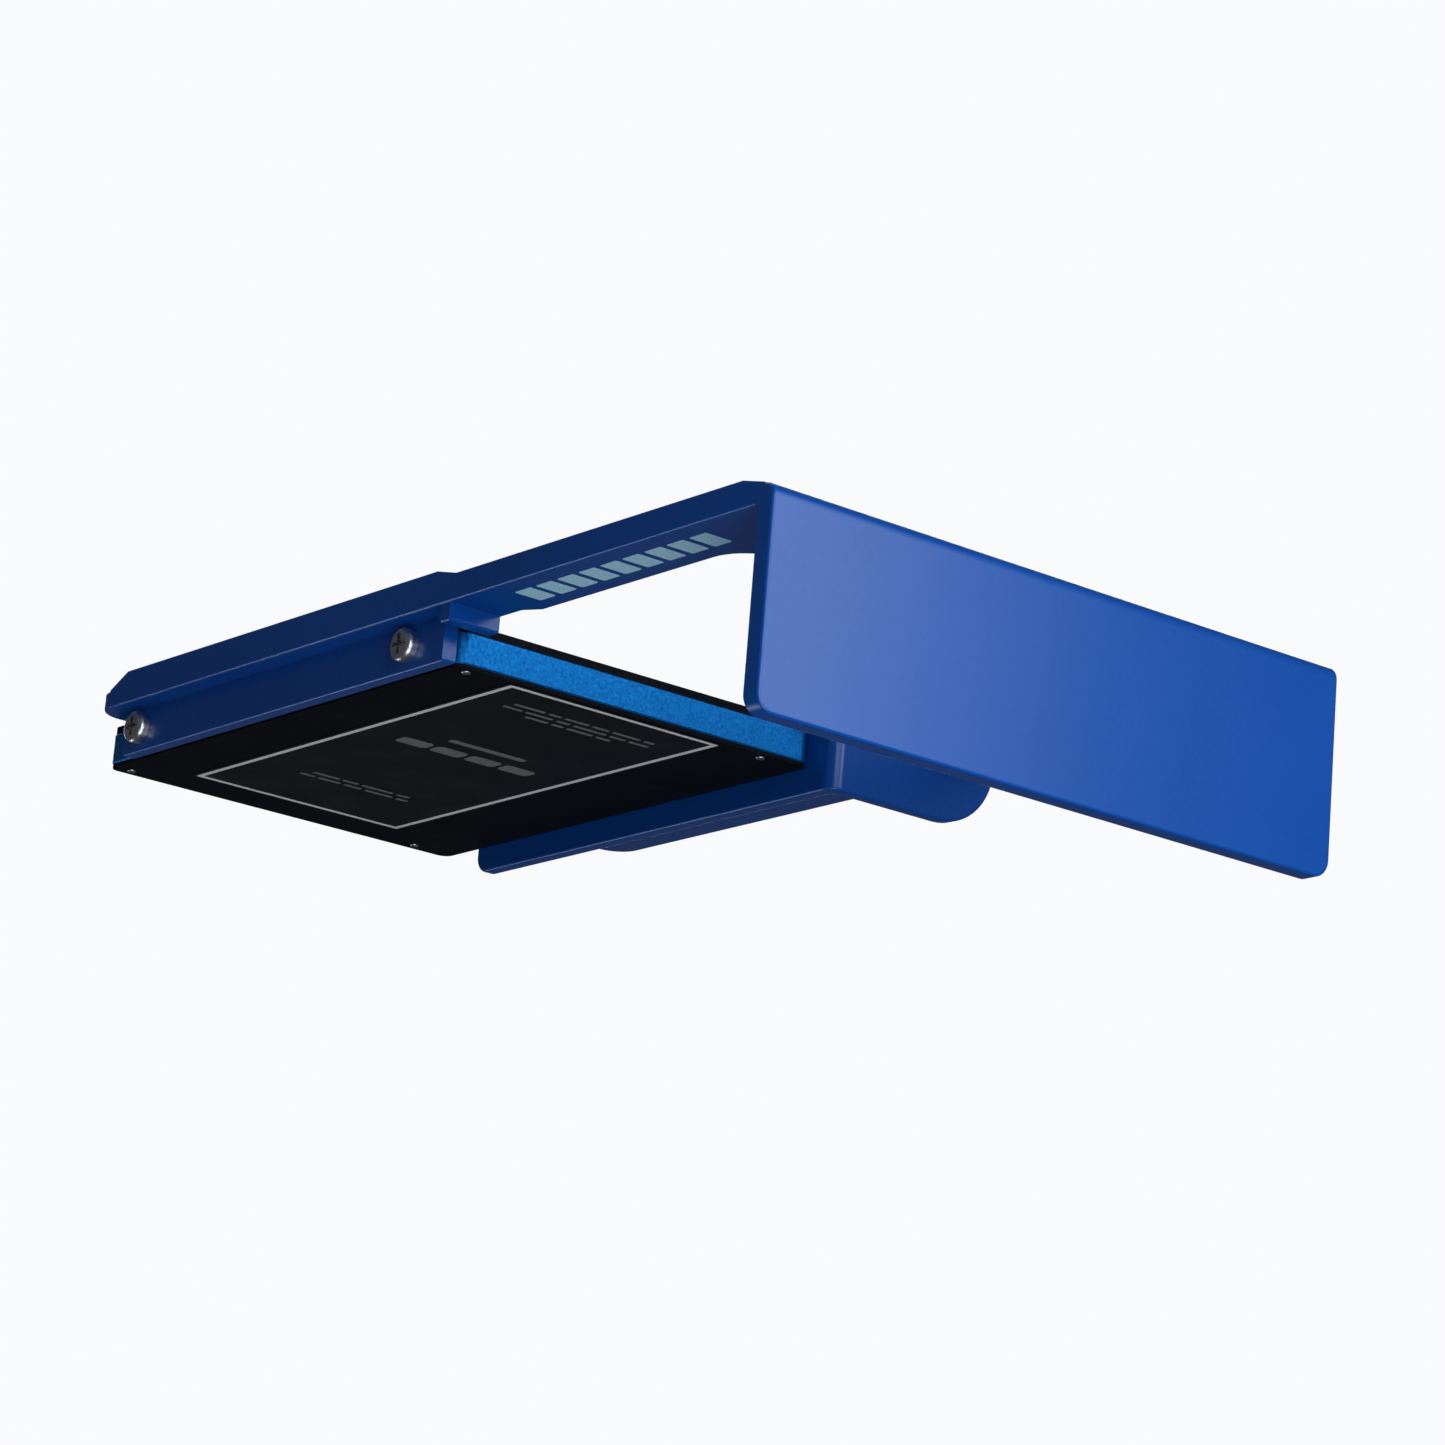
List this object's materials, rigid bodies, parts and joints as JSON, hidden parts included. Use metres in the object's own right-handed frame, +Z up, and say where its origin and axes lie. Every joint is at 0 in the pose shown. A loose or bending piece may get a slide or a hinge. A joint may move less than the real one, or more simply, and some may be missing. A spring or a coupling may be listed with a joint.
{
  "type": "slide-in drive holder",
  "caption": "Slide-in metal drive holder with a fascia, windowed top plate and hanging cup, carrying a 2.5-inch solid-state drive.",
  "frame": {"origin": "on the centre line, where the front of the fascia meets the top face of the plate; it is the mount bay_rails", "axes": "+Z up as the holder hangs in its bay, +Y into the bay, +X to the right seen from the front"},
  "size_m": [0.111, 0.183, 0.0359],
  "materials": {
    "sled_paint": "satin powder coat over formed aluminium",
    "drive_anodised": "fine bead-blasted anodised aluminium",
    "drive_cover": "matte black anodised sheet",
    "label_film": "satin printed film",
    "screw_steel": "zinc plated",
    "board_green": "solder mask",
    "chip_black": "moulded epoxy",
    "pad_grey": "soft thermal pad",
    "plug_black": "glass-filled plastic",
    "contact_gold": "gold plated",
    "crystal_can": "plain can",
    "capacitor_tan": "ceramic"
  },
  "bodies": {
    "holder": {"sled_body": "sled_paint", "drive_frame": "drive_anodised", "drive_base_cover": "drive_cover", "drive_cover_plate": "drive_cover", "drive_label": "label_film", "cover_screws": "screw_steel", "base_screws": "screw_steel", "board_screws": "screw_steel", "circuit_board": "board_green", "controller_chip": "chip_black", "memory_chip": "chip_black", "flash_chips": "chip_black", "controller_pad": "pad_grey", "flash_pads": "pad_grey", "capacitors": "capacitor_tan", "inductors": "chip_black", "regulators": "chip_black", "clock_crystal": "crystal_can", "plug_housing": "plug_black", "power_contacts": "contact_gold", "signal_contacts": "contact_gold"},
    "screw_left_front": {"drive_screw_left_front": "screw_steel"},
    "screw_left_rear": {"drive_screw_left_rear": "screw_steel"},
    "screw_right_front": {"drive_screw_right_front": "screw_steel"},
    "screw_right_rear": {"drive_screw_right_rear": "screw_steel"}
  },
  "joints": [
    {"name": "screw_left_front_turn", "type": "hinge", "parent": "holder", "child": "screw_left_front", "pos_m": [-0.05187, 0.0924, -0.0065], "axis": [-1, 0, 0], "continuous": true},
    {"name": "screw_left_rear_turn", "type": "hinge", "parent": "holder", "child": "screw_left_rear", "pos_m": [-0.05187, 0.169, -0.0065], "axis": [-1, 0, 0], "continuous": true},
    {"name": "screw_right_front_turn", "type": "hinge", "parent": "holder", "child": "screw_right_front", "pos_m": [0.02347, 0.0924, -0.0065], "axis": [1, 0, 0], "continuous": true},
    {"name": "screw_right_rear_turn", "type": "hinge", "parent": "holder", "child": "screw_right_rear", "pos_m": [0.02347, 0.169, -0.0065], "axis": [1, 0, 0], "continuous": true}
  ]
}
